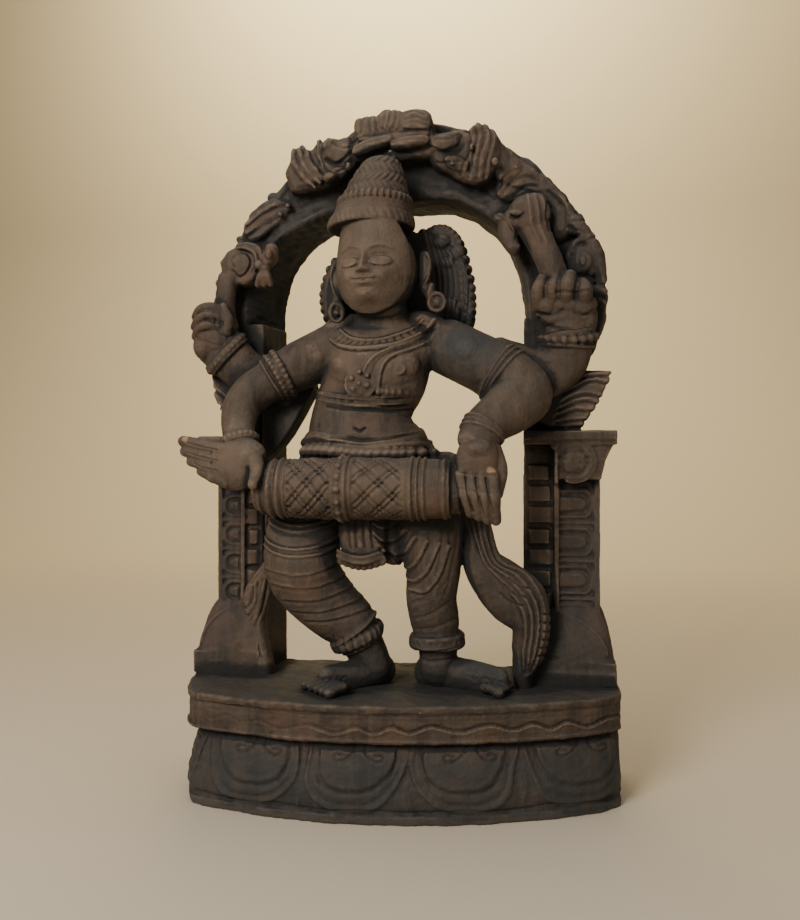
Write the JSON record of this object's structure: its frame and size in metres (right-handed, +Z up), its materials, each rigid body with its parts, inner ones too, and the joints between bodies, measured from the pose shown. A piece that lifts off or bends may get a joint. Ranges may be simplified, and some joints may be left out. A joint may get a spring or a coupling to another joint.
{
  "type": "carved figure panel",
  "caption": "Carved wooden panel of a four-armed figure beating a barrel drum under an arch on two pillars, standing on a lotus plinth.",
  "frame": {"origin": "on the underside, under the middle of the plinth, half-way through its depth", "axes": "+Z up, +X to the viewer's right, +Y towards the flat back, so the front faces -Y"},
  "size_m": [0.3902, 0.154, 0.6086],
  "materials": {
    "carved_wood": "hand-carved, aged dark stain, worn lighter brown on the high spots"
  },
  "bodies": {
    "root": {"nandikeshvara_carving": "carved_wood"}
  },
  "joints": []
}
